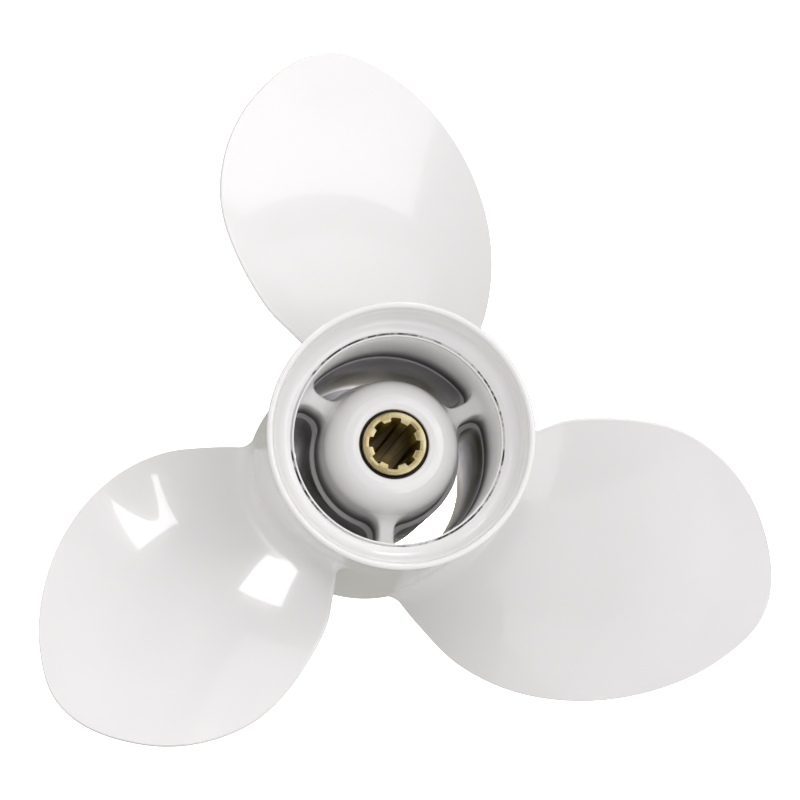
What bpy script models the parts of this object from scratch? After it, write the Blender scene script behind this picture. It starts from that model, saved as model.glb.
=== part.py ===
"""Three-blade aluminium outboard-motor propeller, modelled in metres with +Z up.

The shaft axis is +Z and points aft, the way the water leaves. Z = 0 is the front face of the
outer barrel, on which the propeller can stand. Looking down at the aft end, the blades drive
the boat forward when they turn clockwise, so this is a right-hand propeller.

The real casting is one piece of aluminium: the outer barrel, the inner hub, three ribs between
them and three blades. Here each of those is its own closed solid, a hair's breadth from its
neighbours. The rubber bush and the splined brass sleeve are separate pieces on the real object.
"""
import math

import bmesh
import bpy
from mathutils import Vector

MM = 0.001
GAP = 0.3 * MM

# Blades
BLADE_COUNT = 3
FIRST_BLADE_ANGLE = math.radians(90)
TIP_RADIUS = 117.5 * MM
PITCH_AT_ROOT = 255 * MM
PITCH_AT_TIP = 222 * MM
RAKE_SLOPE = 0.165
TIP_RAKE_CURL = 2.1 * MM
ROOT_THICKNESS = 8.5 * MM
TIP_THICKNESS = 2.6 * MM
EDGE_THICKNESS = 1.0 * MM
GENERATOR_Z = 39.4 * MM
# The blade outline as (radius in mm, angle in degrees about the shaft from the blade's middle
# line), from the leading edge's root round the tip to the trailing edge's root.
BLADE_OUTLINE = (
    (35.0, -50.5),
    (47.0, -45.3),
    (60.7, -40.2),
    (78.5, -30.9),
    (98.2, -17.7),
    (112.5, -5.4),
    (117.5, 4.4),
    (108.4, 15.8),
    (94.5, 25.0),
    (78.7, 31.1),
    (55.4, 35.0),
    (44.0, 33.5),
    (35.0, 30.5),
)
BLADE_ROWS = 15
BLADE_COLUMNS = 10
# How far up the outline the blade's side edges run before its tip edge takes over.
TIP_CORNER_SHARE = 0.88
ROOT_FILLET_RADIUS = 6 * MM
ROOT_END_LINES = 3

# Outer barrel with its flared aft end
BARREL_RADIUS = 34.5 * MM
BARREL_LENGTH = 98.2 * MM
FLARE_START_Z = 66 * MM
LIP_RADIUS = 38 * MM
THROAT_RADIUS = 29.4 * MM
THROAT_Z = 88.6 * MM
PASSAGE_FRONT_RADIUS = 27.7 * MM
PASSAGE_STEP_RADIUS = 28.3 * MM
STEP_LEDGE = 0.6 * MM
STEP_Z = 55 * MM
BARREL_EDGE = 1 * MM
MOUTH_EDGE = 0.5 * MM

# Inner hub with its domed aft end
HUB_FRONT_Z = 1.0 * MM
HUB_FRONT_RADIUS = 20.5 * MM
HUB_STEP_RADIUS = 21.5 * MM
HUB_AFT_RADIUS = 20.1 * MM
SHOULDER_RADIUS = 19.4 * MM
SHOULDER_Z = 70 * MM
DOME_TOP_Z = 80 * MM
DOME_FLAT_RADIUS = 10.9 * MM
NOSE_HOLE_RADIUS = 9.9 * MM
BUSH_SEAT_RADIUS = 14.4 * MM
BUSH_SEAT_END_Z = 72.5 * MM
HUB_EDGE = 1 * MM
HOLE_EDGE = 0.6 * MM

# Ribs between the inner hub and the outer barrel
RIB_COUNT = 3
FIRST_RIB_ANGLE = math.radians(22.5)
RIB_FRONT_Z = 4 * MM
RIB_AFT_Z = 68 * MM
RIB_AFT_WIDTH = 4.4 * MM
RIB_FRONT_WIDTH = 7.2 * MM

# Flat facets round each turned piece
BARREL_SEGMENTS = 84
HUB_SEGMENTS = 64
BUSH_SEGMENTS = 48

# Rubber bush and splined brass sleeve
BUSH_FRONT_Z = 8 * MM
BUSH_NECK_Z = 78.6 * MM
RUNNING_GAP = 0.1 * MM
SLEEVE_RADIUS = 9.0 * MM
SLEEVE_FRONT_Z = 3 * MM
SLEEVE_AFT_Z = 81 * MM
SPLINE_COUNT = 8
SPLINE_MAJOR_RADIUS = 7.3 * MM
SPLINE_MINOR_RADIUS = 6.2 * MM
SPLINE_SLOT_WIDTH = 2.8 * MM
FIRST_SLOT_ANGLE = math.radians(36.4)
BUSH_EDGE = 1 * MM
SLEEVE_EDGE = 0.4 * MM


def clear_scene():
    for item in list(bpy.data.objects):
        bpy.data.objects.remove(item, do_unlink=True)


def make_material(name, colour, roughness, metallic):
    material = bpy.data.materials.new(name)
    material.use_nodes = True
    shader = material.node_tree.nodes["Principled BSDF"]
    shader.inputs["Base Color"].default_value = (*colour, 1.0)
    shader.inputs["Roughness"].default_value = roughness
    shader.inputs["Metallic"].default_value = metallic
    return material


def white_paint(name):
    return make_material(name, (0.86, 0.86, 0.85), 0.18, 0.0)


def add_object(name, mesh, material):
    mesh.materials.append(material)
    mesh.shade_smooth()
    mesh.set_sharp_from_angle(angle=math.radians(35))
    item = bpy.data.objects.new(name, mesh)
    bpy.context.scene.collection.objects.link(item)
    return item


def mesh_from(name, points, faces):
    """A mesh from corner points and faces, with every face turned outward."""
    mesh = bpy.data.meshes.new(name)
    mesh.from_pydata(points, [], faces)
    work = bmesh.new()
    work.from_mesh(mesh)
    bmesh.ops.recalc_face_normals(work, faces=work.faces)
    work.to_mesh(mesh)
    work.free()
    return mesh


def on_circle(radius, angle, z):
    return Vector((radius * math.cos(angle), radius * math.sin(angle), z))


def turned_solid(name, profile, segments):
    """A ring turned about the shaft axis from a closed profile of (radius, z) corners."""
    points = []
    for step in range(segments):
        angle = 2 * math.pi * step / segments
        points += [on_circle(radius, angle, z) for radius, z in profile]
    count = len(profile)
    faces = []
    for step in range(segments):
        here = step * count
        there = (step + 1) % segments * count
        for k in range(count):
            after = (k + 1) % count
            faces.append((here + k, here + after, there + after, there + k))
    return mesh_from(name, points, faces)


def stacked_solid(name, sections):
    """A solid from closed sections with equal numbers of points, capped at both ends."""
    count = len(sections[0])
    points = [point for section in sections for point in section]
    faces = [tuple(range(count)), tuple(range(len(points) - count, len(points)))]
    for level in range(len(sections) - 1):
        low = level * count
        high = low + count
        for k in range(count):
            after = (k + 1) % count
            faces.append((low + k, low + after, high + after, high + k))
    return mesh_from(name, points, faces)


def smooth_curve(stations, t):
    """The point at t (0 to 1) on a Catmull-Rom curve through evenly numbered stations."""
    spans = len(stations) - 1
    place = min(max(t, 0.0), 1.0) * spans
    k = min(int(place), spans - 1)
    u = place - k
    p1 = Vector(stations[k])
    p2 = Vector(stations[k + 1])
    p0 = Vector(stations[k - 1]) if k > 0 else 2 * p1 - p2
    p3 = Vector(stations[k + 2]) if k + 2 <= spans else 2 * p2 - p1
    slope1 = (p2 - p0) / 2
    slope2 = (p3 - p1) / 2
    return (
        (2 * u**3 - 3 * u**2 + 1) * p1
        + (u**3 - 2 * u**2 + u) * slope1
        + (3 * u**2 - 2 * u**3) * p2
        + (u**3 - u**2) * slope2
    )


def blade_point(radius, angle):
    """The point on the blade's aft, driving face: a helicoid raked aft towards the tip."""
    share = (radius - BARREL_RADIUS) / (TIP_RADIUS - BARREL_RADIUS)
    pitch = PITCH_AT_ROOT + (PITCH_AT_TIP - PITCH_AT_ROOT) * share
    rise = pitch * angle / (2 * math.pi)
    rake = RAKE_SLOPE * (radius - BARREL_RADIUS) + TIP_RAKE_CURL * share**2
    return on_circle(radius, angle, GENERATOR_Z + rise + rake)


def blade_normal(radius, angle):
    """The unit normal of the driving face, pointing aft."""
    small = 0.1 * MM
    along = blade_point(radius + small, angle) - blade_point(radius - small, angle)
    turn = small / radius
    across = blade_point(radius, angle + turn) - blade_point(radius, angle - turn)
    return along.cross(across).normalized()


def blade_thickness(radius, span_share, chord_share):
    """Blade thickness: thickest near mid chord, thinning to the edges and to the tip."""
    reach = (radius - BARREL_RADIUS) / (TIP_RADIUS - BARREL_RADIUS)
    middle = ROOT_THICKNESS + (TIP_THICKNESS - ROOT_THICKNESS) * reach
    to_tip_edge = min(1.0, (TIP_CORNER_SHARE - span_share) / 0.3)
    bulge = math.sin(math.pi * chord_share) ** 0.8 * math.sin(math.pi / 2 * to_tip_edge) ** 0.8
    return EDGE_THICKNESS + (middle - EDGE_THICKNESS) * bulge


def root_fillet(radius):
    """How much each blade face spreads where it runs into the barrel."""
    rise = min((radius - BARREL_RADIUS) / ROOT_FILLET_RADIUS, 1.0)
    return ROOT_FILLET_RADIUS * (1 - math.sqrt(1 - (1 - rise) ** 2))


def outline_point(span_share, chord_share):
    """The outline coordinates (radius in mm, angle in degrees) of a place on the blade.

    Rows are straight chords near the root and bend round to follow the tip's edge.
    """
    leading = smooth_curve(BLADE_OUTLINE, span_share / 2)
    trailing = smooth_curve(BLADE_OUTLINE, 1 - span_share / 2)
    chord = leading + (trailing - leading) * chord_share
    round_tip = smooth_curve(BLADE_OUTLINE, span_share / 2 + (1 - span_share) * chord_share)
    bend = (span_share / TIP_CORNER_SHARE) ** 3
    return chord + (round_tip - chord) * bend


def blade_row(span_share):
    """The closed section of a blade: along its aft face, then back along its front face."""
    root_radius = BARREL_RADIUS + GAP
    aft_side = []
    front_side = []
    for column in range(BLADE_COLUMNS + 1):
        chord_share = column / BLADE_COLUMNS
        place = outline_point(span_share, chord_share)
        radius = max(place.x * MM, root_radius)
        angle = math.radians(place.y)
        face = blade_point(radius, angle)
        normal = blade_normal(radius, angle)
        spread = root_fillet(radius) * math.sin(math.pi * chord_share) ** 0.5
        aft = face + normal * spread
        front = face - normal * (blade_thickness(radius, span_share, chord_share) + spread)
        if span_share == 0:
            aft = on_circle(root_radius, math.atan2(aft.y, aft.x), aft.z)
            front = on_circle(root_radius, math.atan2(front.y, front.x), front.z)
        aft_side.append(aft)
        front_side.append(front)
    return aft_side + front_side[::-1]


def blade_mesh(name):
    """A blade whose middle line lies along +X, from its barrel end to its tip."""
    rows = [blade_row(TIP_CORNER_SHARE * k / (BLADE_ROWS - 1)) for k in range(BLADE_ROWS)]
    count = len(rows[0])
    points = [point for row in rows for point in row]
    faces = []
    for level in range(BLADE_ROWS - 1):
        low = level * count
        high = low + count
        for k in range(count):
            after = (k + 1) % count
            faces.append((low + k, low + after, high + after, high + k))
    tip = (BLADE_ROWS - 1) * count
    for k in range(BLADE_COLUMNS):
        opposite = tip + count - 1 - k
        faces.append((tip + k, tip + k + 1, opposite - 1, opposite))
    faces += root_end(points, count)
    return mesh_from(name, points, faces)


def root_end(points, count):
    """Faces that close the blade's root, with added points that follow the barrel's curve."""
    root_radius = BARREL_RADIUS + GAP
    columns = []
    for k in range(BLADE_COLUMNS + 1):
        aft = points[k]
        front = points[count - 1 - k]
        line = [k]
        if 0 < k < BLADE_COLUMNS:
            for step in range(1, ROOT_END_LINES + 1):
                between = aft + (front - aft) * step / (ROOT_END_LINES + 1)
                line.append(len(points))
                points.append(on_circle(root_radius, math.atan2(between.y, between.x), between.z))
        line.append(count - 1 - k)
        columns.append(line)
    faces = []
    for here, there in zip(columns, columns[1:]):
        if len(here) == len(there):
            pairs = zip(here, here[1:], there[1:], there)
            faces += list(pairs)
        else:
            faces.append(tuple(here + there[::-1]))
    return faces


def make_blades():
    paint = white_paint("blade_paint")
    for k in range(BLADE_COUNT):
        name = f"blade_{k + 1}"
        blade = add_object(name, blade_mesh(name), paint)
        blade.rotation_euler.z = FIRST_BLADE_ANGLE + 2 * math.pi * k / BLADE_COUNT


def make_outer_barrel():
    """The exhaust barrel: a straight tube with a step inside and a flared aft end."""
    flare_steps = 6
    flare = []
    for k in range(flare_steps + 1):
        share = k / flare_steps
        z = FLARE_START_Z + (BARREL_LENGTH - BARREL_EDGE - FLARE_START_Z) * share
        flare.append((BARREL_RADIUS + (LIP_RADIUS - BARREL_RADIUS) * share**2, z))
    bell_steps = 5
    bell = []
    for k in range(bell_steps + 1):
        turn = math.pi / 2 * k / bell_steps
        radius = THROAT_RADIUS + (LIP_RADIUS - BARREL_EDGE - THROAT_RADIUS) * math.cos(turn)
        z = BARREL_LENGTH - (BARREL_LENGTH - THROAT_Z) * math.sin(turn)
        bell.append((radius, z))
    profile = [
        (PASSAGE_FRONT_RADIUS, MOUTH_EDGE),
        (PASSAGE_FRONT_RADIUS + MOUTH_EDGE, 0),
        (BARREL_RADIUS - BARREL_EDGE, 0),
        (BARREL_RADIUS, BARREL_EDGE),
        *flare,
        *bell,
        (THROAT_RADIUS - STEP_LEDGE, STEP_Z),
        (PASSAGE_STEP_RADIUS, STEP_Z),
    ]
    mesh = turned_solid("outer_barrel", profile, BARREL_SEGMENTS)
    add_object("outer_barrel", mesh, white_paint("barrel_paint"))


def make_inner_hub():
    """The inner hub: a thick tube with a step outside and a domed aft end."""
    dome_steps = 7
    dome = []
    for k in range(dome_steps + 1):
        turn = math.pi / 2 * k / dome_steps
        radius = DOME_FLAT_RADIUS + (SHOULDER_RADIUS - DOME_FLAT_RADIUS) * math.cos(turn)
        dome.append((radius, SHOULDER_Z + (DOME_TOP_Z - SHOULDER_Z) * math.sin(turn)))
    profile = [
        (BUSH_SEAT_RADIUS + HOLE_EDGE, HUB_FRONT_Z),
        (HUB_FRONT_RADIUS - HUB_EDGE, HUB_FRONT_Z),
        (HUB_FRONT_RADIUS, HUB_FRONT_Z + HUB_EDGE),
        (HUB_STEP_RADIUS, STEP_Z),
        (HUB_AFT_RADIUS, STEP_Z),
        *dome,
        (NOSE_HOLE_RADIUS, DOME_TOP_Z - HOLE_EDGE),
        (NOSE_HOLE_RADIUS, BUSH_SEAT_END_Z),
        (BUSH_SEAT_RADIUS, BUSH_SEAT_END_Z),
        (BUSH_SEAT_RADIUS, HUB_FRONT_Z + HUB_EDGE),
    ]
    add_object("inner_hub", turned_solid("inner_hub", profile, HUB_SEGMENTS), white_paint("hub_paint"))


def rib_section(half_width, z, inner_radius, outer_radius):
    """A rib's outline at one height: its ends curve with the hub and the barrel."""
    outline = []
    for radius, sides in ((inner_radius, (-1, 0, 1)), (outer_radius, (1, 0, -1))):
        for side in sides:
            outline.append(on_circle(radius, math.asin(side * half_width / radius), z))
    return outline


def make_ribs():
    """Three ribs, thicker in the front part of the casting, as the hub and barrel are."""
    paint = white_paint("rib_paint")
    wide = RIB_FRONT_WIDTH / 2
    narrow = RIB_AFT_WIDTH / 2
    throat = THROAT_RADIUS - STEP_LEDGE
    front_share = RIB_FRONT_Z / STEP_Z
    hub_front = HUB_FRONT_RADIUS + (HUB_STEP_RADIUS - HUB_FRONT_RADIUS) * front_share
    sections = [
        rib_section(wide, RIB_FRONT_Z, hub_front + GAP, PASSAGE_FRONT_RADIUS - GAP),
        rib_section(wide, STEP_Z, HUB_STEP_RADIUS + GAP, PASSAGE_STEP_RADIUS - GAP),
        rib_section(narrow, STEP_Z + GAP, HUB_STEP_RADIUS + GAP, PASSAGE_STEP_RADIUS - GAP),
        rib_section(narrow, STEP_Z + 2 * GAP, HUB_AFT_RADIUS + GAP, throat - GAP),
        rib_section(narrow, RIB_AFT_Z, HUB_AFT_RADIUS + GAP, throat - GAP),
    ]
    for k in range(RIB_COUNT):
        name = f"rib_{k + 1}"
        rib = add_object(name, stacked_solid(name, sections), paint)
        rib.rotation_euler.z = FIRST_RIB_ANGLE + 2 * math.pi * k / RIB_COUNT


def make_rubber_bush():
    """The rubber damper: a thick sleeve with a thin neck that shows round the brass."""
    bore = SLEEVE_RADIUS + RUNNING_GAP
    body = BUSH_SEAT_RADIUS - GAP
    neck = NOSE_HOLE_RADIUS - RUNNING_GAP
    neck_start = BUSH_SEAT_END_Z - GAP
    profile = [
        (bore, BUSH_FRONT_Z),
        (body - BUSH_EDGE, BUSH_FRONT_Z),
        (body, BUSH_FRONT_Z + BUSH_EDGE),
        (body, neck_start),
        (neck, neck_start),
        (neck, BUSH_NECK_Z),
        (bore, BUSH_NECK_Z),
    ]
    rubber = make_material("bush_rubber", (0.02, 0.02, 0.02), 0.7, 0.0)
    add_object("rubber_bush", turned_solid("rubber_bush", profile, BUSH_SEGMENTS), rubber)


def spline_outline(z):
    """The sleeve's bore: slots cut to the major radius between teeth at the minor radius."""
    outline = []
    slot_half = SPLINE_SLOT_WIDTH / 2
    tooth_start = math.asin(slot_half / SPLINE_MINOR_RADIUS)
    tooth_end = 2 * math.pi / SPLINE_COUNT - tooth_start
    slot_corner = math.asin(slot_half / SPLINE_MAJOR_RADIUS)
    for k in range(SPLINE_COUNT):
        base = FIRST_SLOT_ANGLE + 2 * math.pi * k / SPLINE_COUNT
        for radius, angle in (
            (SPLINE_MAJOR_RADIUS, -slot_corner),
            (SPLINE_MAJOR_RADIUS, 0),
            (SPLINE_MAJOR_RADIUS, slot_corner),
            (SPLINE_MINOR_RADIUS, tooth_start),
            (SPLINE_MINOR_RADIUS, (tooth_start + tooth_end) / 2),
            (SPLINE_MINOR_RADIUS, tooth_end),
        ):
            outline.append(on_circle(radius, base + angle, z))
    return outline


def make_splined_sleeve():
    """The brass sleeve, whose bore carries the splines that the shaft turns."""
    segments = 6 * SPLINE_COUNT
    outer = []
    for radius, z in (
        (SLEEVE_RADIUS - SLEEVE_EDGE, SLEEVE_FRONT_Z),
        (SLEEVE_RADIUS, SLEEVE_FRONT_Z + SLEEVE_EDGE),
        (SLEEVE_RADIUS, SLEEVE_AFT_Z - SLEEVE_EDGE),
        (SLEEVE_RADIUS - SLEEVE_EDGE, SLEEVE_AFT_Z),
    ):
        turn = 2 * math.pi / segments
        first = FIRST_SLOT_ANGLE - turn
        outer.append([on_circle(radius, first + turn * k, z) for k in range(segments)])
    rings = [spline_outline(SLEEVE_FRONT_Z), *outer, spline_outline(SLEEVE_AFT_Z)]
    points = [point for ring in rings for point in ring]
    faces = []
    for level in range(len(rings)):
        low = level * segments
        high = (level + 1) % len(rings) * segments
        for k in range(segments):
            after = (k + 1) % segments
            faces.append((low + k, low + after, high + after, high + k))
    brass = make_material("sleeve_brass", (0.72, 0.58, 0.30), 0.3, 1.0)
    add_object("splined_sleeve", mesh_from("splined_sleeve", points, faces), brass)


def main():
    clear_scene()
    make_outer_barrel()
    make_inner_hub()
    make_ribs()
    make_blades()
    make_rubber_bush()
    make_splined_sleeve()


main()
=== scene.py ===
"""The finished look of the boat propeller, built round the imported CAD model.

The eight CAD nodes of the casting are replaced by one continuous skin: rings of points that run
from the barrel over each root fillet and up each blade, and rings that run through each exhaust
passage and over the ribs. The rubber bush and the splined sleeve are finer meshes of their own.
Lengths of the shapes are millimetres, and meshes are scaled to metres when they are made.
Materials, lights and the camera are in metres.
"""
import math

import bmesh
import bpy
import numpy as np
from mathutils import Matrix, Vector


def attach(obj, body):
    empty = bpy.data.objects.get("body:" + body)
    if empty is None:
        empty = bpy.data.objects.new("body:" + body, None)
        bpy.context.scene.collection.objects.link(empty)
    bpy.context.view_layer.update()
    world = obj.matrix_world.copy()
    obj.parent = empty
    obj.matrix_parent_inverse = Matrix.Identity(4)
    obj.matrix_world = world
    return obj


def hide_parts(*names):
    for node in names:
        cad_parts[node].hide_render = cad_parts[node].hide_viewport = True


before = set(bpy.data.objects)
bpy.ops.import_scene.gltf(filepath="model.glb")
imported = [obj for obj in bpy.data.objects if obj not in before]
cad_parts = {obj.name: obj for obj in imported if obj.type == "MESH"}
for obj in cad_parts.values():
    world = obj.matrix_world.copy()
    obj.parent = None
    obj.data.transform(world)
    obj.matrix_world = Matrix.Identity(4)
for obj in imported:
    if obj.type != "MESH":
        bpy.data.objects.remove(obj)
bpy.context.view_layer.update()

MM = 0.001
# Points of neighbouring rings that lie closer than this many metres become one.
MERGE_DISTANCE = 2e-6

# Every ring round the shaft has this many points, so neighbouring rings always meet.
RING_POINTS = 192
STEP_ANGLE = 2 * math.pi / RING_POINTS

# Blades, as in the CAD model
BLADE_COUNT = 3
HALF_CELL_STEPS = RING_POINTS // BLADE_COUNT // 2
FIRST_BLADE_ANGLE = math.radians(90)
BARREL_RADIUS = 34.5
TIP_RADIUS = 117.5
PITCH_AT_ROOT = 255.0
PITCH_AT_TIP = 222.0
RAKE_SLOPE = 0.165
TIP_RAKE_CURL = 2.1
GENERATOR_Z = 39.4
ROOT_THICKNESS = 8.5
TIP_THICKNESS = 2.6
EDGE_THICKNESS = 1.1
# (radius, degrees from the blade's middle line), leading root, round the tip, trailing root
BLADE_OUTLINE = (
    (35.0, -50.5),
    (47.0, -45.3),
    (60.7, -40.2),
    (78.5, -30.9),
    (98.2, -17.7),
    (112.5, -5.4),
    (117.5, 4.4),
    (108.4, 15.8),
    (94.5, 25.0),
    (78.7, 31.1),
    (55.4, 35.0),
    (44.0, 33.5),
    (35.0, 30.5),
)
# How far up the outline the side edges run before the tip's edge takes over, how far below that
# the rows crowd together, and from where the section thins towards it
TIP_CORNER_SHARE = 0.88
TIP_RIM_SHARE = 0.006
TIP_RIM_ROWS = 6
TIP_THINNING_SHARE = 0.3
CROWN_POWER = 0.8
BLADE_ROWS = 46
EDGE_RADIUS = 0.6
EDGE_POINTS = 5
# The part of the spacing that is even, where the rest crowds towards the edges or the tip
EVEN_SHARE_ALONG_CHORD = 0.12
EVEN_SHARE_UP_BLADE = 0.15
# Samples along a row, in the table of row lengths, and in that of radii up to the root's span
CHORD_SAMPLES = 60
LENGTH_SAMPLES = 90
ROOT_SAMPLES = 60
ROOT_SPAN = 0.3

# Fillets between blade and barrel, and the slanted cell of barrel skin round each blade root
FACE_FILLET = 7.0
LEADING_FILLET = 2.2
TRAILING_FILLET = 3.2
FILLET_ROWS = 9
FILLET_PULL = 0.55
FILLET_POWER = 0.6
FILLET_SLOPE_STEP = 0.004
LOWEST_FILLET_Z = 2.0
FILLET_ROOM_BLEND = 1.5
LEAST_DOWNWARD = 0.2
CELL_LOW_Z = 1.2
CELL_HIGH_Z = 66.0
CELL_LOW_STEPS = -29
CELL_HIGH_STEPS = 20
CELL_SIDE_POINTS = 56
CELL_ROWS = 12
CELL_CROWDING = 0.5

# Barrel ends
FRONT_EDGE_RADIUS = 1.0
FRONT_JOIN_RADIUS = 33.0
BARREL_LENGTH = 98.2
LIP_RADIUS = 38.0
LIP_ROUNDING = 0.9
RIM_RADIUS = 29.4
RIM_Z = 88.6
RIM_ROUNDING = 0.3
THROAT_STEP_Z = RIM_Z - 2.6
GROOVE_INNER_RADIUS = 30.05
GROOVE_OUTER_RADIUS = 30.35
GROOVE_DEPTH = 0.6
BELL_START_RADIUS = 30.5

# Hub, exhaust passages and ribs
RIB_COUNT = 3
PASSAGE_STEPS = RING_POINTS // RIB_COUNT
PASSAGE_ANGLE = 2 * math.pi / RIB_COUNT
FIRST_RIB_ANGLE = 12 * STEP_ANGLE
STEP_Z = 55.0
HUB_FRONT_Z = 1.0
HUB_FRONT_RADIUS = 20.5
HUB_STEP_RADIUS = 21.5
HUB_AFT_RADIUS = 20.1
SHOULDER_RADIUS = 19.4
SHOULDER_Z = 70.0
DOME_TOP_Z = 80.0
DOME_FLAT_RADIUS = 10.9
NOSE_HOLE_RADIUS = 9.9
NOSE_HOLE_ROUNDING = 0.45
LAND_RADIUS = 11.4
LAND_EDGE = 0.2
LAND_DEPTH = 0.12
RIDGE_RADIUS = 14.2
RIDGE_WIDTH = 0.35
RIDGE_HEIGHT = 0.07
BUSH_SEAT_BEVEL = 0.6
BUSH_SEAT_RADIUS = 14.4
BUSH_SEAT_END_Z = 72.5
HUB_JOIN_RADIUS = 15.6
PASSAGE_FRONT_RADIUS = 27.6
PASSAGE_STEP_RADIUS = 28.3
WALL_AFT_RADIUS = 28.8
RIB_FRONT_Z = 4.2
RIB_AFT_Z = 69.5
RIB_FRONT_HALF = 3.6
RIB_AFT_HALF = 2.2
RIB_FILLET_BLEND = 4.0
RIB_EDGE_BLEND = 1.2
STEP_BLEND = 0.7
JOIN_Z = 75.0
RIB_INNER_END = 17.5
AFT_PART_START_Z = 47.0
RIB_SIDE_POINTS = 28
MOUTH_CORNER_POINTS = 5
# Heights of the passage's rings, which crowd at the step and at the ribs' aft ends
FORE_RINGS_Z = (11.0, 20.0, 30.0, 40.0, 48.0, 52.0, 54.0, 54.7, STEP_Z)
AFT_RINGS_Z = (55.4, 56.2, 58.0, 61.0, 64.0)
RIB_TOP_RINGS_Z = (66.5, 68.2, 69.1, RIB_AFT_Z)
# Settling points on the skin: rounds, the probe's size, the least slope and the longest move
SETTLE_ROUNDS = 14
SETTLE_PROBE = 0.01
SETTLE_LEAST_SLOPE = 0.2
SETTLE_LONGEST_MOVE = 0.8
RESPACE_ROUNDS = 4

# Bush and sleeve
BUSH_FRONT_Z = 8.0
BUSH_NECK_Z = 78.6
BUSH_ROUNDING = 0.8
BUSH_GROOVE_RADIUS = 0.7
RUNNING_GAP = 0.1
SLEEVE_RADIUS = 9.0
SLEEVE_FRONT_Z = 3.0
SLEEVE_AFT_Z = 81.0
SPLINE_COUNT = 8
SPLINE_MAJOR_RADIUS = 7.3
SPLINE_MINOR_RADIUS = 6.2
SPLINE_SLOT_WIDTH = 2.8
SPLINE_ROUNDING = 0.15
FIRST_SLOT_ANGLE = math.radians(36.4)
# Degrees from a slot's middle to the middle of a tooth, crowded at the slot's side
SLOT_POINT_ANGLES = (0, 4, 7.5, 9.5, 10.4, 10.9, 11.3, 11.9, 12.5, 12.9, 13.3, 14, 16, 19)
SLEEVE_BEVEL = 0.35
SLEEVE_ROUNDING = 0.1
SHARP_EDGE_ANGLE = math.radians(40)


# ---------------------------------------------------------------- meshes


def ring_xyz(radius, angle, z):
    """Points from their radius, angle and height, in arrays of any matching shape."""
    radius, angle, z = np.broadcast_arrays(radius, angle, z)
    return np.stack([radius * np.cos(angle), radius * np.sin(angle), z], axis=-1)


def turned(points, angle):
    """The same points turned about the shaft axis."""
    c, s = math.cos(angle), math.sin(angle)
    x, y, z = points[..., 0], points[..., 1], points[..., 2]
    return np.stack([c * x - s * y, s * x + c * y, z], axis=-1)


def unit(vectors):
    return vectors / np.linalg.norm(vectors, axis=-1, keepdims=True)


class Skin:
    """Collects grids of points and joins them into one mesh wherever their points meet."""

    def __init__(self):
        self.points = []
        self.faces = []
        self.count = 0

    def grid(self, points):
        """Adds rows of points, where each row is a closed ring."""
        rows, columns = points.shape[:2]
        here = np.arange(rows * columns).reshape(rows, columns) + self.count
        after = np.roll(here, -1, axis=1)
        quads = np.stack([here[:-1], after[:-1], after[1:], here[1:]], axis=-1)
        self.faces.append(quads.reshape(-1, 4))
        self.points.append(points.reshape(-1, 3))
        self.count += rows * columns

    def finish(self, name):
        mesh = bpy.data.meshes.new(name)
        points = np.concatenate(self.points) * MM
        mesh.from_pydata(points.tolist(), [], np.concatenate(self.faces).tolist())
        work = bmesh.new()
        work.from_mesh(mesh)
        bmesh.ops.remove_doubles(work, verts=work.verts, dist=MERGE_DISTANCE)
        bmesh.ops.recalc_face_normals(work, faces=work.faces)
        work.to_mesh(mesh)
        work.free()
        mesh.shade_smooth()
        piece = bpy.data.objects.new(name, mesh)
        bpy.context.scene.collection.objects.link(piece)
        return piece


def revolved(profile, count=RING_POINTS):
    """Rings about the shaft axis, one for each (radius, z) of the profile."""
    profile = np.array(profile, float)
    angle = np.arange(count) * 2 * math.pi / count
    return ring_xyz(profile[:, :1], angle[None, :], profile[:, 1:])


def arc(centre, radii, start, end, steps):
    """Profile points on an elliptical arc; angles are degrees from outward towards aft."""
    turns = np.radians(np.linspace(start, end, steps + 1))
    return [
        (centre[0] + radii[0] * math.cos(t), centre[1] + radii[1] * math.sin(t)) for t in turns
    ]


def spaced(length, count):
    """Distances along a chord of some length, crowded at both of its rounded edges."""
    turns = np.linspace(0, math.pi / 2, EDGE_POINTS + 1)
    rounding = EDGE_RADIUS * (1 - np.cos(turns[:-1]))
    u = np.linspace(0, 1, count + 1 - 2 * EDGE_POINTS)
    crowded = (1 - np.cos(math.pi * u)) / 2
    share = EVEN_SHARE_ALONG_CHORD * u + (1 - EVEN_SHARE_ALONG_CHORD) * crowded
    middle = EDGE_RADIUS + (length[..., None] - 2 * EDGE_RADIUS) * share
    low = np.broadcast_to(rounding, length.shape + rounding.shape)
    return np.concatenate([low, middle, length[..., None] - low[..., ::-1]], axis=-1)


def spaced_across(length):
    """One distance for each column, where each point's row has a length of its own."""
    count = length.shape[1] - 1
    column = np.arange(count + 1)[None, :, None]
    return np.take_along_axis(spaced(length, count), column, axis=-1)[..., 0]


def smooth_step(low, high, value):
    share = min(max((value - low) / (high - low), 0.0), 1.0)
    return share * share * (3 - 2 * share)


# ---------------------------------------------------------------- blades


def smooth_curve(stations, t):
    """Points at t (0 to 1) on a Catmull-Rom curve through evenly numbered stations."""
    stations = np.array(stations, float)
    first = 2 * stations[0] - stations[1]
    last = 2 * stations[-1] - stations[-2]
    padded = np.concatenate([[first], stations, [last]])
    spans = len(stations) - 1
    place = np.clip(t, 0.0, 1.0) * spans
    k = np.minimum(place.astype(int), spans - 1)
    u = (place - k)[..., None]
    p0, p1, p2, p3 = padded[k], padded[k + 1], padded[k + 2], padded[k + 3]
    return (
        (2 * u**3 - 3 * u**2 + 1) * p1
        + (u**3 - 2 * u**2 + u) * (p2 - p0) / 2
        + (3 * u**2 - 2 * u**3) * p2
        + (u**3 - u**2) * (p3 - p1) / 2
    )


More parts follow.
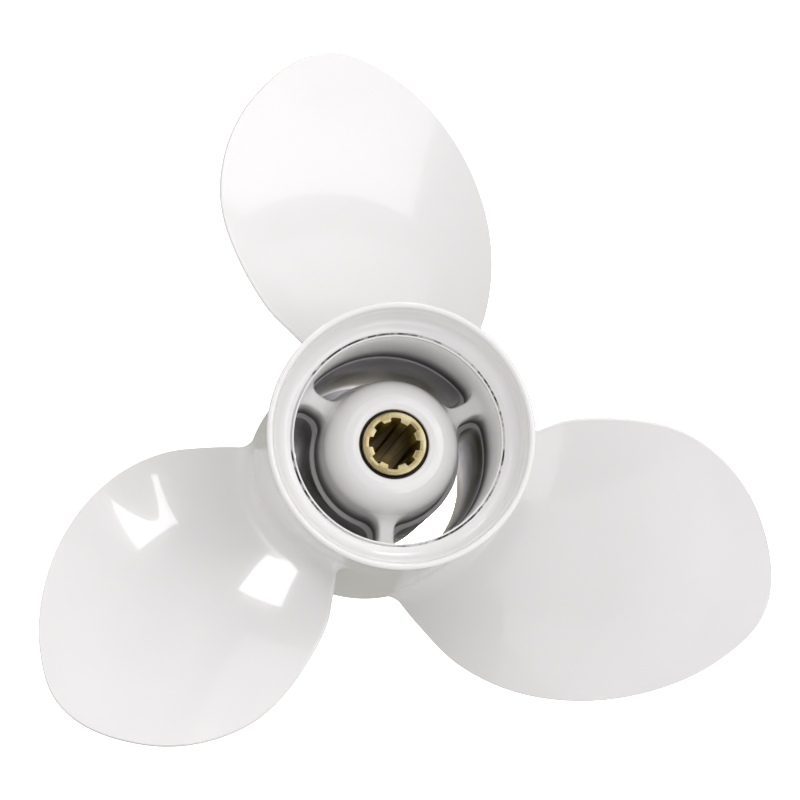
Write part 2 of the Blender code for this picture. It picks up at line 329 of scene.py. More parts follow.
def outline_place(span, chord):
    """Radius and angle of a place on the blade; rows bend round to follow the tip's edge."""
    leading = smooth_curve(BLADE_OUTLINE, span / 2)
    trailing = smooth_curve(BLADE_OUTLINE, 1 - span / 2)
    straight = leading + (trailing - leading) * chord[..., None]
    round_tip = smooth_curve(BLADE_OUTLINE, span / 2 + (1 - span) * chord)
    bend = ((span / TIP_CORNER_SHARE) ** 3)[..., None]
    place = straight + (round_tip - straight) * bend
    return place[..., 0], np.radians(place[..., 1])


def driving_face(radius, angle):
    """Points on the blade's aft face: a helicoid raked aft towards the tip."""
    share = (radius - BARREL_RADIUS) / (TIP_RADIUS - BARREL_RADIUS)
    pitch = PITCH_AT_ROOT + (PITCH_AT_TIP - PITCH_AT_ROOT) * share
    rake = RAKE_SLOPE * (radius - BARREL_RADIUS) + TIP_RAKE_CURL * share**2
    return ring_xyz(radius, angle, GENERATOR_Z + pitch * angle / (2 * math.pi) + rake)


def driving_normal(radius, angle):
    """Unit normals of the driving face, pointing aft."""
    small = 0.05
    along = driving_face(radius + small, angle) - driving_face(radius - small, angle)
    turn = small / radius
    across = driving_face(radius, angle + turn) - driving_face(radius, angle - turn)
    return unit(np.cross(along, across))


def row_length(span):
    """Length of a blade row from edge to edge along the driving face."""
    chord = np.linspace(0, 1, CHORD_SAMPLES)
    radius, angle = outline_place(span[:, None] + 0 * chord, 0 * span[:, None] + chord)
    points = driving_face(radius, angle)
    return np.linalg.norm(np.diff(points, axis=1), axis=-1).sum(axis=1)


def roundness(distance):
    """Share of full thickness at a distance from a rounded edge."""
    share = np.clip(distance / EDGE_RADIUS, 0.0, 1.0)
    return np.sqrt(1 - (1 - share) ** 2)


def blade_side(span):
    """Places on the driving face, their normals, and the full and the edge-rounded thickness."""
    table = np.linspace(0, TIP_CORNER_SHARE, LENGTH_SAMPLES)
    lengths = row_length(table)
    length = np.interp(span, table, lengths)
    distance = spaced_across(length)
    chord = distance / length
    radius, angle = outline_place(span, chord)
    face = driving_face(radius, angle)
    tip = np.full((1, span.shape[1]), TIP_CORNER_SHARE)
    tip_length = np.interp(tip, table, lengths)
    tip_edge = driving_face(*outline_place(tip, spaced_across(tip_length) / tip_length))
    from_tip = np.linalg.norm(face - tip_edge, axis=-1)
    from_side = np.minimum(distance, length - distance)
    reach = (radius - BARREL_RADIUS) / (TIP_RADIUS - BARREL_RADIUS)
    middle = ROOT_THICKNESS + (TIP_THICKNESS - ROOT_THICKNESS) * reach
    to_tip = np.clip((TIP_CORNER_SHARE - span) / TIP_THINNING_SHARE, 0.0, 1.0)
    crown = np.sin(math.pi * np.clip(chord, 0, 1)) * np.sin(math.pi / 2 * to_tip)
    full = EDGE_THICKNESS + (middle - EDGE_THICKNESS) * crown**CROWN_POWER
    rounded = full * roundness(from_side) * roundness(from_tip)
    return face, driving_normal(radius, angle), full, rounded


def blade_points(span):
    """The closed loop of a blade section: front face from leading to trailing, then aft face.

    Span is an array of rows by loop points, because rows may climb along the chord.
    """
    half = span.shape[1] // 2
    face, normal, full, rounded = blade_side(span[:, : half + 1])
    front = face - normal * ((full + rounded) / 2)[..., None]
    aft_span = np.concatenate([span[:, half:], span[:, :1]], axis=1)[:, ::-1]
    face, normal, full, rounded = blade_side(aft_span)
    aft = face - normal * ((full - rounded) / 2)[..., None]
    return np.concatenate([front[:, :-1], aft[:, ::-1][:, :-1]], axis=1)


def fillet_sizes(count):
    """Fillet radius at each loop point: wide on the faces, small at the two edges."""
    chord = 1 - np.abs(np.linspace(-1, 1, count, endpoint=False))
    body = np.clip(np.sin(math.pi * chord), 0, 1) ** FILLET_POWER
    edge = LEADING_FILLET + (TRAILING_FILLET - LEADING_FILLET) * chord
    return edge + (FACE_FILLET - edge) * body


def to_cylinder(points):
    """Radius, angle and height of points near a blade whose middle line lies along +X."""
    x, y, z = points[..., 0], points[..., 1], points[..., 2]
    return np.stack([np.hypot(x, y), np.arctan2(y, x), z], axis=-1)


def blade_spans(count):
    """Each blade point's share of the way up the outline: the rows climb from the fillet's top."""
    table = np.linspace(0, ROOT_SPAN, ROOT_SAMPLES)
    table_radius = smooth_curve(BLADE_OUTLINE, table / 2)[:, 0]
    start = np.interp(BARREL_RADIUS + fillet_sizes(count), table_radius, table)
    u = np.linspace(0, 1, BLADE_ROWS)
    climb = EVEN_SHARE_UP_BLADE * u + (1 - EVEN_SHARE_UP_BLADE) * np.sin(u * math.pi / 2)
    rim = TIP_CORNER_SHARE - TIP_RIM_SHARE
    body = start + (rim - start) * climb[:, None]
    turns = np.linspace(0, math.pi / 2, TIP_RIM_ROWS + 1)[1:]
    rim_rows = TIP_CORNER_SHARE - TIP_RIM_SHARE * (1 - np.sin(turns))
    return np.concatenate([body, np.repeat(rim_rows[:, None], count, axis=1)])


def blade_foot(top, below):
    """Where a blade without a fillet would meet the barrel, as radius, angle and height."""
    slope = below - top
    drop = (top[:, 0] - BARREL_RADIUS) / -slope[:, 0]
    foot = top + slope * drop[:, None]
    foot[:, 0] = BARREL_RADIUS
    return foot


def fillet_base(foot):
    """The fillet's edge on the barrel, spread outward from the foot but not below the skin."""
    flat = np.stack([foot[:, 1] * BARREL_RADIUS, foot[:, 2]], axis=-1)
    along = np.roll(flat, -1, axis=0) - np.roll(flat, 1, axis=0)
    outward = unit(np.stack([along[:, 1], -along[:, 0]], axis=-1))
    room = (flat[:, 1] - LOWEST_FILLET_Z) / np.maximum(-outward[:, 1], LEAST_DOWNWARD)
    reach = smooth_min(fillet_sizes(len(foot)), room, FILLET_ROOM_BLEND)
    spread = flat + outward * reach[:, None]
    on_barrel = np.full(len(foot), BARREL_RADIUS)
    return np.stack([on_barrel, spread[:, 0] / BARREL_RADIUS, spread[:, 1]], axis=-1)


def fillet_rows(base, foot, top):
    """Rows on a smooth curve from the fillet's base, pulled towards the foot, up to its top."""
    u = np.linspace(0, 1, FILLET_ROWS + 1)[:-1, None, None]
    near_base = base + (foot - base) * FILLET_PULL
    near_top = top + (foot - top) * FILLET_PULL
    return (
        (1 - u) ** 3 * base + 3 * (1 - u) ** 2 * u * near_base
        + 3 * (1 - u) * u**2 * near_top + u**3 * top
    )


def blade_rings():
    """All the rings of one blade: its cell of barrel skin, its root fillet and the blade."""
    spans = blade_spans(4 * HALF_CELL_STEPS + 2 * CELL_SIDE_POINTS)
    rows = blade_points(spans)
    top = to_cylinder(rows[0])
    below = to_cylinder(blade_points(spans[:1] - FILLET_SLOPE_STEP)[0])
    foot = blade_foot(top, below)
    base = fillet_base(foot)
    edge = cell_edge()
    u = np.linspace(0, 1, CELL_ROWS + 1)[:-1, None, None]
    cell = edge + (base - edge) * (u * (1 + CELL_CROWDING - CELL_CROWDING * u))
    skin = np.concatenate([cell, fillet_rows(base, foot, top)])
    return np.concatenate([ring_xyz(skin[..., 0], skin[..., 1], skin[..., 2]), rows])


def cell_edge():
    """The edge of a blade's cell of barrel skin, as radius, angle and height.

    It starts below the leading edge, and its slanted sides are shared with the next blades.
    """
    low = CELL_LOW_STEPS * STEP_ANGLE
    high = CELL_HIGH_STEPS * STEP_ANGLE
    corner = HALF_CELL_STEPS * STEP_ANGLE
    side = np.linspace(0, 1, CELL_SIDE_POINTS + 1)
    side_angle = low + (high - low) * side
    side_z = CELL_LOW_Z + (CELL_HIGH_Z - CELL_LOW_Z) * side
    steps = np.arange(HALF_CELL_STEPS) * STEP_ANGLE
    angle = np.concatenate([
        low + steps,
        corner + side_angle[:-1],
        high + corner - steps,
        high - steps,
        (side_angle - corner)[::-1][:-1],
        low - corner + steps,
    ])
    z = np.concatenate([
        np.full(HALF_CELL_STEPS, CELL_LOW_Z),
        side_z[:-1],
        np.full(2 * HALF_CELL_STEPS, CELL_HIGH_Z),
        side_z[::-1][:-1],
        np.full(HALF_CELL_STEPS, CELL_LOW_Z),
    ])
    return np.stack([np.full(len(angle), BARREL_RADIUS), angle, z], axis=-1)


# ---------------------------------------------------------------- passages and ribs


def smooth_min(a, b, blend):
    near = np.maximum(blend - np.abs(a - b), 0.0)
    return np.minimum(a, b) - near**2 / (4 * blend)


def smooth_max(a, b, blend):
    return -smooth_min(-a, -b, blend)


def fore_radii(z):
    """Radii of the hub and of the passage's outer wall forward of the step."""
    share = z / STEP_Z
    hub = HUB_FRONT_RADIUS + (HUB_STEP_RADIUS - HUB_FRONT_RADIUS) * share
    wall = PASSAGE_FRONT_RADIUS + (PASSAGE_STEP_RADIUS - PASSAGE_FRONT_RADIUS) * share
    return hub, wall


def wall_radius(z):
    """Radius of the passage's outer wall aft of the step."""
    return WALL_AFT_RADIUS + (RIM_RADIUS - WALL_AFT_RADIUS) * (z - STEP_Z) / (RIM_Z - STEP_Z)


def dome_distance(radius, z):
    """Distance outward from the aft part of the hub: a slight cone under a dome."""
    slope = (SHOULDER_RADIUS - HUB_AFT_RADIUS) / (SHOULDER_Z - STEP_Z)
    cone = radius - (SHOULDER_RADIUS + slope * (z - SHOULDER_Z))
    out = (radius - DOME_FLAT_RADIUS) / (SHOULDER_RADIUS - DOME_FLAT_RADIUS)
    up = (z - SHOULDER_Z) / (DOME_TOP_Z - SHOULDER_Z)
    dome = (np.hypot(out, np.maximum(up, 0)) - 1) * (SHOULDER_RADIUS - DOME_FLAT_RADIUS)
    return np.where(z < SHOULDER_Z, cone, dome)


def place_beside_ribs(points):
    """Radius, distance across the nearest rib's middle plane, and height."""
    radius = np.hypot(points[..., 0], points[..., 1])
    angle = np.arctan2(points[..., 1], points[..., 0]) - FIRST_RIB_ANGLE
    folded = (angle + PASSAGE_ANGLE / 2) % PASSAGE_ANGLE - PASSAGE_ANGLE / 2
    return radius, np.abs(radius * np.sin(folded)), points[..., 2]


def fore_distance(points):
    """Rough distance from the thicker front part of hub, ribs and barrel."""
    radius, across, z = place_beside_ribs(points)
    hub_radius, barrel_radius = fore_radii(z)
    hub = smooth_max(radius - hub_radius, HUB_FRONT_Z - z, RIB_EDGE_BLEND)
    wall = smooth_max(barrel_radius - radius, -z, RIB_EDGE_BLEND)
    rib = smooth_max(across - RIB_FRONT_HALF, RIB_FRONT_Z - z, RIB_EDGE_BLEND)
    rib = np.maximum(rib, RIB_INNER_END - radius)
    return smooth_min(np.minimum(hub, wall), rib, RIB_FILLET_BLEND)


def aft_distance(points):
    """Rough distance from the thinner aft part of hub, ribs and barrel."""
    radius, across, z = place_beside_ribs(points)
    shell = np.minimum(dome_distance(radius, z), wall_radius(z) - radius)
    rib = smooth_max(across - RIB_AFT_HALF, z - RIB_AFT_Z, RIB_EDGE_BLEND)
    rib = np.maximum(rib, RIB_INNER_END - radius)
    return smooth_min(shell, rib, RIB_FILLET_BLEND)


def casting_distance(points):
    """Rough distance from the whole casting round the passages, with its step."""
    z = points[..., 2]
    fore = smooth_max(fore_distance(points), z - STEP_Z, STEP_BLEND)
    aft = np.maximum(aft_distance(points), AFT_PART_START_Z - z)
    return smooth_min(fore, aft, STEP_BLEND)


def settled(points, distance_of=casting_distance, level=False):
    """Points moved along the slope of a distance until it is zero; level keeps their height."""
    shifts = np.eye(3) * SETTLE_PROBE
    for _ in range(SETTLE_ROUNDS):
        distance = distance_of(points)
        rises = [distance_of(points + s) - distance_of(points - s) for s in shifts]
        slope = np.stack(rises, axis=-1) / (2 * SETTLE_PROBE)
        if level:
            slope[..., 2] = 0.0
        size = np.maximum((slope**2).sum(axis=-1), SETTLE_LEAST_SLOPE)
        move = np.clip(distance / size, -SETTLE_LONGEST_MOVE, SETTLE_LONGEST_MOVE)
        points = points - slope * move[..., None]
    return points


def respaced(line, count):
    """A line of points resampled to even steps."""
    steps = np.linalg.norm(np.diff(line, axis=0), axis=-1)
    length = np.concatenate([[0], np.cumsum(steps)])
    even = np.linspace(0, length[-1], count)
    return np.stack([np.interp(even, length, line[:, k]) for k in range(line.shape[1])], axis=-1)


def line_on_skin(line):
    """A (radius, z) line in a rib's middle plane, moved onto the skin except for its ends."""
    points = ring_xyz(line[:, 0], FIRST_RIB_ANGLE, line[:, 1])
    points[1:-1] = settled(points[1:-1])
    return points


def rib_line(corners):
    """Evenly spaced skin points in a rib's middle plane, from rough (radius, z) corners."""
    line = respaced(np.array(corners, float), RIB_SIDE_POINTS + 1)
    for _ in range(RESPACE_ROUNDS):
        points = line_on_skin(line)
        line = np.stack([np.hypot(points[:, 0], points[:, 1]), points[:, 2]], axis=-1)
        line = respaced(line, RIB_SIDE_POINTS + 1)
    return line_on_skin(line)


def passage_edge(inner, outer, corners):
    """A passage's outermost ring: on the hub, along a rib, on the barrel, back along a rib."""
    steps = np.arange(PASSAGE_STEPS) * STEP_ANGLE
    near_rib = rib_line((inner, *corners, outer))
    far_rib = turned(near_rib, PASSAGE_ANGLE)
    hub = ring_xyz(inner[0], FIRST_RIB_ANGLE + steps, inner[1])
    wall = ring_xyz(outer[0], FIRST_RIB_ANGLE + PASSAGE_ANGLE - steps, outer[1])
    return np.concatenate([hub, far_rib[:-1], wall, near_rib[::-1][:-1]])


def passage_ring(inner, outer, half, z):
    """A ring inside the passage, between hub, barrel and rib sides, before fillets."""
    share = np.arange(PASSAGE_STEPS) / PASSAGE_STEPS
    hub_inset = math.asin(half / inner)
    wall_inset = math.asin(half / outer)
    hub = hub_inset + (PASSAGE_ANGLE - 2 * hub_inset) * share
    wall = wall_inset + (PASSAGE_ANGLE - 2 * wall_inset) * (1 - share)
    side = np.linspace(0, 1, RIB_SIDE_POINTS + 1)
    near = math.sqrt(inner**2 - half**2)
    far = math.sqrt(outer**2 - half**2)
    reach = near + (far - near) * side
    side_radius = np.hypot(reach, half)
    side_angle = np.arctan2(half, reach)
    radius = np.concatenate([
        np.full(PASSAGE_STEPS, inner), side_radius[:-1],
        np.full(PASSAGE_STEPS, outer), side_radius[::-1][:-1],
    ])
    angle = np.concatenate([hub, PASSAGE_ANGLE - side_angle[:-1], wall, side_angle[::-1][:-1]])
    return ring_xyz(radius, FIRST_RIB_ANGLE + angle, z)


def fore_ring(z):
    """A passage ring forward of the step, with its fillets."""
    return settled(passage_ring(*fore_radii(z), RIB_FRONT_HALF, z), fore_distance, level=True)


def aft_ring(z):
    """A passage ring aft of the step, with its fillets."""
    share = (SHOULDER_Z - z) / (SHOULDER_Z - STEP_Z)
    hub = SHOULDER_RADIUS + (HUB_AFT_RADIUS - SHOULDER_RADIUS) * share
    ring = passage_ring(hub, float(wall_radius(z)), RIB_AFT_HALF, z)
    return settled(ring, aft_distance, level=True)


def at_height(ring, z):
    """The same ring at another height, or at one height for each of its points."""
    moved = ring.copy()
    moved[:, 2] = z
    return moved


def between(first, last, shares):
    """Rings at some shares of the way from one ring to another."""
    return [first + (last - first) * share for share in shares]


def front_edge_ring():
    """Where a passage's rings meet the casting's front: the hub's, a rib's and the barrel's."""
    return passage_edge(
        (HUB_JOIN_RADIUS, HUB_FRONT_Z), (FRONT_JOIN_RADIUS, 0.0),
        ((HUB_FRONT_RADIUS - 1, HUB_FRONT_Z), (HUB_FRONT_RADIUS + 1, RIB_FRONT_Z),
         (PASSAGE_FRONT_RADIUS - 1, RIB_FRONT_Z), (PASSAGE_FRONT_RADIUS + 1, 0.0)),
    )


def aft_edge_ring():
    """Where a passage's rings meet the dome and the throat, past the ribs' aft ends."""
    wall_join = float(wall_radius(JOIN_Z))
    up = (JOIN_Z - SHOULDER_Z) / (DOME_TOP_Z - SHOULDER_Z)
    out = math.sqrt(1 - up**2)
    dome_join = DOME_FLAT_RADIUS + (SHOULDER_RADIUS - DOME_FLAT_RADIUS) * out
    return passage_edge(
        (dome_join, JOIN_Z), (wall_join, JOIN_Z),
        ((SHOULDER_RADIUS, RIB_AFT_Z + 2), (SHOULDER_RADIUS + 2, RIB_AFT_Z),
         (wall_join - 2, RIB_AFT_Z), (wall_join, RIB_AFT_Z + 2)),
    )


def passage_rings():
    """All the rings of one passage, from the casting's front to the dome and the wall."""
    front_edge = front_edge_ring()
    aft_edge = aft_edge_ring()
    mouth = at_height(fore_ring(9.0), front_mouth_heights())
    rings = between(front_edge, mouth, (0.3, 0.6, 0.82, 0.94, 1.0))
    rings += [at_height(mouth, mouth[:, 2] + rise) for rise in (0.5, 1.2, 3.0)]
    rings += [fore_ring(z) for z in FORE_RINGS_Z]
    rings += between(fore_ring(STEP_Z), aft_ring(STEP_Z), (0.35, 0.7, 1.0))
    rings += [aft_ring(z) for z in AFT_RINGS_Z]
    last = aft_ring(AFT_RINGS_Z[-1])
    rings += [at_height(last, z) for z in RIB_TOP_RINGS_Z]
    rings += between(at_height(last, RIB_AFT_Z), aft_edge, (0.12, 0.3, 0.52, 0.76))
    inner = settled(np.array(rings))
    return np.concatenate([front_edge[None], inner, aft_edge[None]])


def front_mouth_heights():
    """Height of the casting's front at each place round a passage mouth."""
    corner = MOUTH_CORNER_POINTS
    side = np.concatenate([
        np.linspace(HUB_FRONT_Z, RIB_FRONT_Z, corner),
        np.full(RIB_SIDE_POINTS + 1 - 2 * corner, RIB_FRONT_Z),
        np.linspace(RIB_FRONT_Z, 0.0, corner),
    ])
    return np.concatenate([
        np.full(PASSAGE_STEPS, HUB_FRONT_Z), side[:-1],
        np.zeros(PASSAGE_STEPS), side[::-1][:-1],
    ])


# ---------------------------------------------------------------- casting


def dome_profile():
    """The dome, with the faint ridge round it and the sunken land round its hole."""
    up = math.degrees(math.asin((JOIN_Z - SHOULDER_Z) / (DOME_TOP_Z - SHOULDER_Z)))
    dome_radii = (SHOULDER_RADIUS - DOME_FLAT_RADIUS, DOME_TOP_Z - SHOULDER_Z)
    dome = []
    for radius, z in arc((DOME_FLAT_RADIUS, SHOULDER_Z), dome_radii, up, 90, 30):
        land = 1 - smooth_step(LAND_RADIUS - LAND_EDGE, LAND_RADIUS + LAND_EDGE, radius)
        ridge = math.exp(-(((radius - RIDGE_RADIUS) / RIDGE_WIDTH) ** 2))
        dome.append((radius, z - LAND_DEPTH * land + RIDGE_HEIGHT * ridge))
    return dome


def hub_profile():
    """From the dome, over the nose hole's edge and through the bush seat, to the hub's front."""
    edge = NOSE_HOLE_ROUNDING
    edge_centre = (NOSE_HOLE_RADIUS + edge, DOME_TOP_Z - LAND_DEPTH - edge)
    return [
        *dome_profile(),
        *arc(edge_centre, (edge, edge), 90, 180, 4),
        (NOSE_HOLE_RADIUS, DOME_TOP_Z - 2),
        (NOSE_HOLE_RADIUS, BUSH_SEAT_END_Z + 0.2),
        (NOSE_HOLE_RADIUS + 0.2, BUSH_SEAT_END_Z),
        (BUSH_SEAT_RADIUS, BUSH_SEAT_END_Z),
        (BUSH_SEAT_RADIUS, HUB_FRONT_Z + BUSH_SEAT_BEVEL),
        (BUSH_SEAT_RADIUS + BUSH_SEAT_BEVEL, HUB_FRONT_Z),
        (HUB_JOIN_RADIUS, HUB_FRONT_Z),
    ]


def flare_profile():
    """The barrel's outside below the lip: it widens with the square of the height."""
    top = BARREL_LENGTH - LIP_ROUNDING
    flare = []
    for z in np.linspace(top, CELL_HIGH_Z, 18):
        share = (z - CELL_HIGH_Z) / (top - CELL_HIGH_Z)
        flare.append((BARREL_RADIUS + (LIP_RADIUS - BARREL_RADIUS) * share**2, z))
    return flare


def aft_end_profile():
    """From the passage wall, over the rim and up the bell to the lip, then down the flare."""
    bell_radii = (LIP_RADIUS - LIP_ROUNDING * 2 - BELL_START_RADIUS,
                  BARREL_LENGTH - RIM_Z + 0.1)
    bell = arc((BELL_START_RADIUS, BARREL_LENGTH), bell_radii, -90, 0, 16)
    lip_centre = (LIP_RADIUS - LIP_ROUNDING, BARREL_LENGTH - LIP_ROUNDING)
    rim_centre = (RIM_RADIUS + RIM_ROUNDING, RIM_Z - RIM_ROUNDING)
    return [
        *[(float(wall_radius(z)), z) for z in (JOIN_Z, 80.0, THROAT_STEP_Z - 0.3)],
        (float(wall_radius(THROAT_STEP_Z)) + 0.1, THROAT_STEP_Z),
        (RIM_RADIUS + 0.05, THROAT_STEP_Z + 0.1),
        (RIM_RADIUS + 0.1, THROAT_STEP_Z + 0.4),
        (RIM_RADIUS, RIM_Z - RIM_ROUNDING - 0.05),
        *arc(rim_centre, (RIM_ROUNDING, RIM_ROUNDING), 180, 0, 8),
        (GROOVE_INNER_RADIUS, RIM_Z - GROOVE_DEPTH),
        (GROOVE_OUTER_RADIUS, RIM_Z - GROOVE_DEPTH - 0.02),
        *bell[:-1],
        *arc(lip_centre, (LIP_ROUNDING, LIP_ROUNDING), 180, 0, 12),
        *flare_profile()[1:],
    ]


def front_profile():
    """From the blade cells' low edge round the barrel's front edge to its front face."""
    r = FRONT_EDGE_RADIUS
    return [
        (BARREL_RADIUS, CELL_LOW_Z),
        *arc((BARREL_RADIUS - r, r), (r, r), 0, -90, 5),
        (FRONT_JOIN_RADIUS, 0.0),
    ]


def bare_inside(casting):
    """Gives the passages forward of the step their own material."""
    for face in casting.data.polygons:
        centre = face.center / MM
        radius = math.hypot(centre.x, centre.y)
        inside = HUB_JOIN_RADIUS < radius < PASSAGE_STEP_RADIUS + 0.1
        if inside and 1.5 < centre.z < STEP_Z - 0.4:
            face.material_index = 1


def make_casting():
    skin = Skin()
    blade = blade_rings()
    for k in range(BLADE_COUNT):
        skin.grid(turned(blade, FIRST_BLADE_ANGLE + 2 * math.pi * k / BLADE_COUNT))
    passage = passage_rings()
    for k in range(RIB_COUNT):
        skin.grid(turned(passage, PASSAGE_ANGLE * k))
    skin.grid(revolved(hub_profile()))
    skin.grid(revolved(aft_end_profile()))
    skin.grid(revolved(front_profile()))
    return skin.finish("casting")


# ---------------------------------------------------------------- bush and sleeve


def bush_profile():
    """The rubber damper: a thick sleeve, and a thin neck that shows round the brass."""
    bore = SLEEVE_RADIUS + RUNNING_GAP
    body = BUSH_SEAT_RADIUS - 0.3
    neck = NOSE_HOLE_RADIUS - RUNNING_GAP
    neck_start = BUSH_SEAT_END_Z - 0.3
    groove = (bore + body) / 2
    g = BUSH_GROOVE_RADIUS
    r = BUSH_ROUNDING
    return [
        (bore, BUSH_FRONT_Z + 0.4),
        (bore + 0.4, BUSH_FRONT_Z),
        (groove - 0.9, BUSH_FRONT_Z),
        *arc((groove, BUSH_FRONT_Z), (g, g), 180, 0, 8),
        (groove + 0.9, BUSH_FRONT_Z),
        *arc((body - r, BUSH_FRONT_Z + r), (r, r), -90, 0, 6),
        (body, neck_start - 0.5),
        (body - 0.5, neck_start),
        (neck, neck_start),
        (neck, BUSH_NECK_Z - 0.25),
        (neck - 0.08, BUSH_NECK_Z - 0.08),
        (neck - 0.25, BUSH_NECK_Z),
        (bore + 0.15, BUSH_NECK_Z - 0.1),
        (bore, BUSH_NECK_Z - 0.25),
        (bore, BUSH_FRONT_Z + 0.4),
    ]


def make_bush():
    skin = Skin()
    skin.grid(revolved(bush_profile(), 144))
    return skin.finish("bush")


def spline_bore():
    """Radius and angle round the sleeve's bore: eight straight-sided slots between teeth."""
    half_step = math.pi / SPLINE_COUNT
    near = np.radians(SLOT_POINT_ANGLES)
    one = np.concatenate([near, [half_step], 2 * half_step - near[:0:-1]])
    angle = np.concatenate([one + 2 * half_step * k for k in range(SPLINE_COUNT)])
    folded = np.abs((angle + half_step) % (2 * half_step) - half_step)
    wall = SPLINE_SLOT_WIDTH / 2 / np.sin(np.maximum(folded, 0.05))
    tooth = smooth_max(SPLINE_MINOR_RADIUS, wall, SPLINE_ROUNDING)
    radius = smooth_min(SPLINE_MAJOR_RADIUS, tooth, SPLINE_ROUNDING)
    return radius, angle + FIRST_SLOT_ANGLE


def oil_inside(sleeve):
    """Gives the sleeve's bore its own material."""
    for face in sleeve.data.polygons:
        centre = face.center / MM
        radius = math.hypot(centre.x, centre.y)
        facing_in = face.normal.x * centre.x + face.normal.y * centre.y < 0
        if radius < SPLINE_MAJOR_RADIUS + 0.1 and facing_in and abs(face.normal.z) < 0.5:
            face.material_index = 1


def make_sleeve():
    bore, angle = spline_bore()
    low, high = SLEEVE_FRONT_Z, SLEEVE_AFT_Z
    bevel, soft = SLEEVE_BEVEL, SLEEVE_ROUNDING
    rings = [
        ring_xyz(bore + bevel, angle, low),
        ring_xyz(bore, angle, low + bevel),
        ring_xyz(bore, angle, (low + high) / 2),
        ring_xyz(bore, angle, high - bevel),
        ring_xyz(bore + soft / 2, angle, high - soft),
        ring_xyz(bore + soft * 2, angle, high),
        ring_xyz((bore + SLEEVE_RADIUS) / 2, angle, high),
        ring_xyz(SLEEVE_RADIUS - bevel, angle, high),
        ring_xyz(SLEEVE_RADIUS - soft, angle, high - soft),
        ring_xyz(SLEEVE_RADIUS, angle, high - bevel),
        ring_xyz(SLEEVE_RADIUS, angle, low + bevel),
        ring_xyz(SLEEVE_RADIUS - bevel, angle, low),
        ring_xyz(bore + bevel, angle, low),
    ]
    skin = Skin()
    skin.grid(np.array(rings))
    sleeve = skin.finish("sleeve")
    sleeve.data.set_sharp_from_angle(angle=SHARP_EDGE_ANGLE)
    return sleeve


# ---------------------------------------------------------------- materials

# Where the enamel changes, in metres. Each pair of numbers is one soft edge.
CHANNEL_RADII = (0.0190, 0.0198), (0.0294, 0.0300)
# Heights of the painted shade in the passage channel: darkest just aft of the step, gone by 68 mm
PAINTED_SHADE_HEIGHTS = (0.0551, 0.0556), (0.0556, 0.0680)
DRY_TOP = (0.0865, 0.0880)
GROOVE_RADII = (0.02985, 0.02995), (0.0304, 0.0305)
GROOVE_BOTTOM = (0.0870, 0.0875)
TURNING_PITCH = 0.00025


class Finish:
    """A node material with short calls for adding and joining its nodes."""

    def __init__(self, name):
        self.material = bpy.data.materials.new(name)
        self.material.use_nodes = True
        self.nodes = self.material.node_tree.nodes
        self.shader = self.nodes["Principled BSDF"]
        self.place = self.add("ShaderNodeTexCoord").outputs["Object"]

    def add(self, kind, **values):
        node = self.nodes.new(kind)
        for key, value in values.items():
            setattr(node, key, value)
        return node

    def join(self, source, target):
        self.material.node_tree.links.new(source, target)

    def set(self, **values):
        for key, value in values.items():
            self.shader.inputs[key.replace("_", " ")].default_value = value

    def noise(self, scale, detail=3.0, rough=0.5, stretch=None):
        node = self.add("ShaderNodeTexNoise")
        node.inputs["Scale"].default_value = scale
        node.inputs["Detail"].default_value = detail
        node.inputs["Roughness"].default_value = rough
        if stretch:
            shape = self.add("ShaderNodeMapping")
            shape.inputs["Scale"].default_value = stretch
            self.join(self.place, shape.inputs["Vector"])
            self.join(shape.outputs["Vector"], node.inputs["Vector"])
        else:
            self.join(self.place, node.inputs["Vector"])
        return node.outputs["Fac"]

    def remap(self, value, low, high, new_low=0.0, new_high=1.0):
        node = self.add("ShaderNodeMapRange", interpolation_type="SMOOTHSTEP")
        self.join(value, node.inputs["Value"])
        node.inputs["From Min"].default_value = low
        node.inputs["From Max"].default_value = high
        node.inputs["To Min"].default_value = new_low
        node.inputs["To Max"].default_value = new_high
        return node.outputs["Result"]

    def times(self, a, b):
        node = self.add("ShaderNodeMath", operation="MULTIPLY")
        self.join(a, node.inputs[0])
        if isinstance(b, (int, float)):
            node.inputs[1].default_value = b
        else:
            self.join(b, node.inputs[1])
        return node.outputs[0]

    def band(self, value, rise, fall):
        """One between two soft edges, and zero outside them."""
        return self.times(self.remap(value, *rise), self.remap(value, *fall, 1.0, 0.0))

    def blend(self, share, first, second):
        """A colour between two, where each is an RGB triple or another node's output."""
        node = self.add("ShaderNodeMix", data_type="RGBA")
        self.join(share, node.inputs["Factor"])
        for socket, colour in ((node.inputs[6], first), (node.inputs[7], second)):
            if isinstance(colour, tuple):
                socket.default_value = (*colour, 1.0)
            else:
                self.join(colour, socket)
        return node.outputs[2]

    def radius_and_height(self):
        """Distance from the shaft axis and height above the front face, in metres."""
        parts = self.add("ShaderNodeSeparateXYZ")
        self.join(self.place, parts.inputs[0])
        flat = self.add("ShaderNodeCombineXYZ")
        self.join(parts.outputs["X"], flat.inputs["X"])
        self.join(parts.outputs["Y"], flat.inputs["Y"])
        length = self.add("ShaderNodeVectorMath", operation="LENGTH")
        self.join(flat.outputs[0], length.inputs[0])
        return length.outputs["Value"], parts.outputs["Z"]

    def bump(self, height, strength, distance, below=None):
        node = self.add("ShaderNodeBump")
        node.inputs["Strength"].default_value = strength
        node.inputs["Distance"].default_value = distance
        self.join(height, node.inputs["Height"])
        if below:
            self.join(below, node.inputs["Normal"])
        return node.outputs["Normal"]


